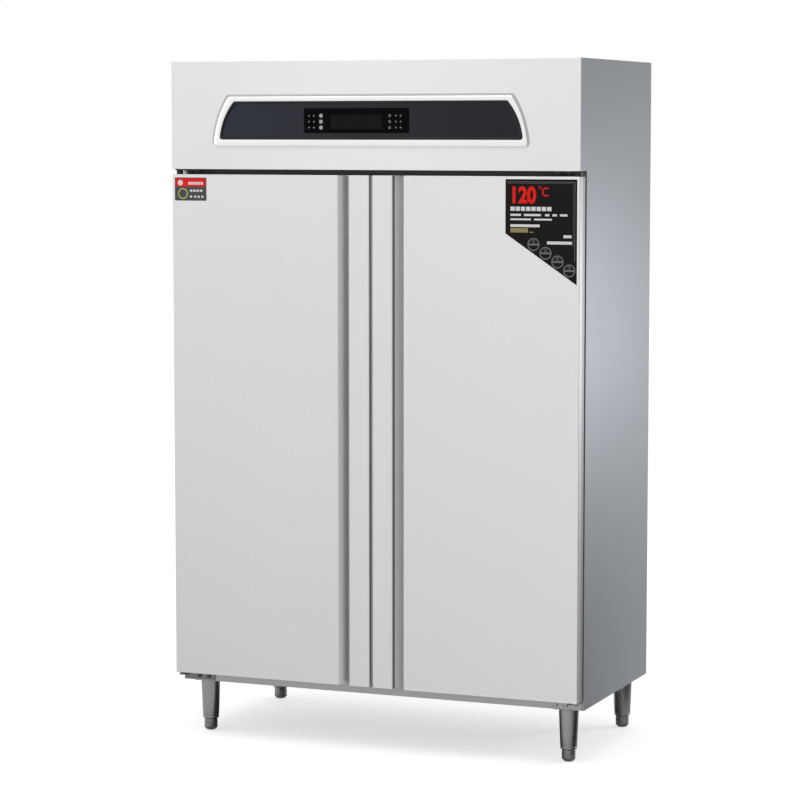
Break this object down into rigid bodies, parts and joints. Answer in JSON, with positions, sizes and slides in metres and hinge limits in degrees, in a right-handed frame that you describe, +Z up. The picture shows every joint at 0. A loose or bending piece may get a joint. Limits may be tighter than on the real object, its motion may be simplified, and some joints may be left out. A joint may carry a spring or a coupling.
{
  "type": "dish sterilizer cabinet",
  "caption": "Upright two-door stainless hot-air dish sterilizer with a header control panel, wire racks and levelling feet",
  "frame": {"origin": "on the floor, under the middle of the cabinet's overall box", "axes": "+X to the viewer's right when facing the doors, +Y from the doors to the back, +Z up"},
  "size_m": [1.23, 0.664, 1.95],
  "materials": {
    "front_steel": "satin",
    "side_steel": "satin",
    "back_sheet": "satin",
    "frame_steel": "satin",
    "liner_steel": "satin",
    "wool": "matte",
    "motor_paint": "satin",
    "impeller_metal": "satin",
    "heater_tube": "matte",
    "shaft_steel": "gloss",
    "probe_steel": "gloss",
    "bezel_plastic": "satin",
    "panel_glass": "gloss",
    "module_plastic": "satin",
    "window_plastic": "gloss",
    "key_plastic": "gloss",
    "board_laminate": "satin",
    "module_casing": "matte",
    "gland_plastic": "satin",
    "hinge_steel": "satin",
    "gasket_rubber": "matte",
    "bush_nylon": "satin",
    "rack_chrome": "gloss",
    "runner_steel": "satin",
    "leg_steel": "satin",
    "foot_steel": "satin"
  },
  "bodies": {
    "cabinet": {"left_side_panel": "side_steel", "right_side_panel": "side_steel", "rear_panel": "back_sheet", "roof_panel": "side_steel", "base_pan": "back_sheet", "header_fascia": "front_steel", "door_frame": "frame_steel", "centre_mullion": "frame_steel", "liner_left_wall": "liner_steel", "liner_right_wall": "liner_steel", "liner_rear_wall": "liner_steel", "liner_ceiling": "liner_steel", "liner_floor": "liner_steel", "body_insulation": "wool", "rear_air_panel": "liner_steel", "duct_plate": "liner_steel", "fan_guard": "liner_steel", "fan_motor": "motor_paint", "heating_element": "heater_tube", "temperature_probe": "probe_steel", "panel_bezel": "bezel_plastic", "control_glass": "panel_glass", "display_housing": "module_plastic", "display_window": "window_plastic", "control_board": "board_laminate", "power_module": "module_casing", "cable_gland": "gland_plastic", "upper_hinges": "hinge_steel", "lower_hinges": "hinge_steel", "legs": "leg_steel", "rack_standards": "runner_steel", "rack_runners": "runner_steel", "left_rack_1": "rack_chrome", "left_rack_2": "rack_chrome", "left_rack_3": "rack_chrome", "right_rack_1": "rack_chrome", "right_rack_2": "rack_chrome", "right_rack_3": "rack_chrome"},
    "left_door": {"left_door_skin": "front_steel", "left_door_liner": "liner_steel", "left_door_insulation": "wool", "left_door_gasket": "gasket_rubber", "left_door_bushes": "bush_nylon"},
    "right_door": {"right_door_skin": "front_steel", "right_door_liner": "liner_steel", "right_door_insulation": "wool", "right_door_gasket": "gasket_rubber", "right_door_bushes": "bush_nylon"},
    "fan_rotor": {"fan_impeller": "impeller_metal", "motor_shaft": "shaft_steel"},
    "panel_key_1": {"key_1": "key_plastic"},
    "panel_key_2": {"key_2": "key_plastic"},
    "panel_key_3": {"key_3": "key_plastic"},
    "panel_key_4": {"key_4": "key_plastic"},
    "panel_key_5": {"key_5": "key_plastic"},
    "panel_key_6": {"key_6": "key_plastic"},
    "front_left_levelling_foot": {"front_left_foot": "foot_steel"},
    "front_right_levelling_foot": {"front_right_foot": "foot_steel"},
    "rear_left_levelling_foot": {"rear_left_foot": "foot_steel"},
    "rear_right_levelling_foot": {"rear_right_foot": "foot_steel"}
  },
  "joints": [
    {"name": "left_door_hinge", "type": "hinge", "parent": "cabinet", "child": "left_door", "pos_m": [-0.601, -0.304, 0.9075], "axis": [0, 0, -1], "range_deg": [0, 120]},
    {"name": "right_door_hinge", "type": "hinge", "parent": "cabinet", "child": "right_door", "pos_m": [0.601, -0.304, 0.9075], "axis": [0, 0, 1], "range_deg": [0, 120]},
    {"name": "fan_spindle", "type": "hinge", "parent": "cabinet", "child": "fan_rotor", "pos_m": [0, 0, 1.545], "axis": [0, 0, 1], "continuous": true},
    {"name": "key_1_travel", "type": "slide", "parent": "cabinet", "child": "panel_key_1", "axis": [0, 1, 0], "range_m": [0, 0.0012], "stiffness_N_per_m": 800},
    {"name": "key_2_travel", "type": "slide", "parent": "cabinet", "child": "panel_key_2", "axis": [0, 1, 0], "range_m": [0, 0.0012], "stiffness_N_per_m": 800},
    {"name": "key_3_travel", "type": "slide", "parent": "cabinet", "child": "panel_key_3", "axis": [0, 1, 0], "range_m": [0, 0.0012], "stiffness_N_per_m": 800},
    {"name": "key_4_travel", "type": "slide", "parent": "cabinet", "child": "panel_key_4", "axis": [0, 1, 0], "range_m": [0, 0.0012], "stiffness_N_per_m": 800},
    {"name": "key_5_travel", "type": "slide", "parent": "cabinet", "child": "panel_key_5", "axis": [0, 1, 0], "range_m": [0, 0.0012], "stiffness_N_per_m": 800},
    {"name": "key_6_travel", "type": "slide", "parent": "cabinet", "child": "panel_key_6", "axis": [0, 1, 0], "range_m": [0, 0.0012], "stiffness_N_per_m": 800},
    {"name": "front_left_foot_screw", "type": "slide", "parent": "cabinet", "child": "front_left_levelling_foot", "axis": [0, 0, -1], "range_m": [0, 0.03]},
    {"name": "front_right_foot_screw", "type": "slide", "parent": "cabinet", "child": "front_right_levelling_foot", "axis": [0, 0, -1], "range_m": [0, 0.03]},
    {"name": "rear_left_foot_screw", "type": "slide", "parent": "cabinet", "child": "rear_left_levelling_foot", "axis": [0, 0, -1], "range_m": [0, 0.03]},
    {"name": "rear_right_foot_screw", "type": "slide", "parent": "cabinet", "child": "rear_right_levelling_foot", "axis": [0, 0, -1], "range_m": [0, 0.03]}
  ]
}
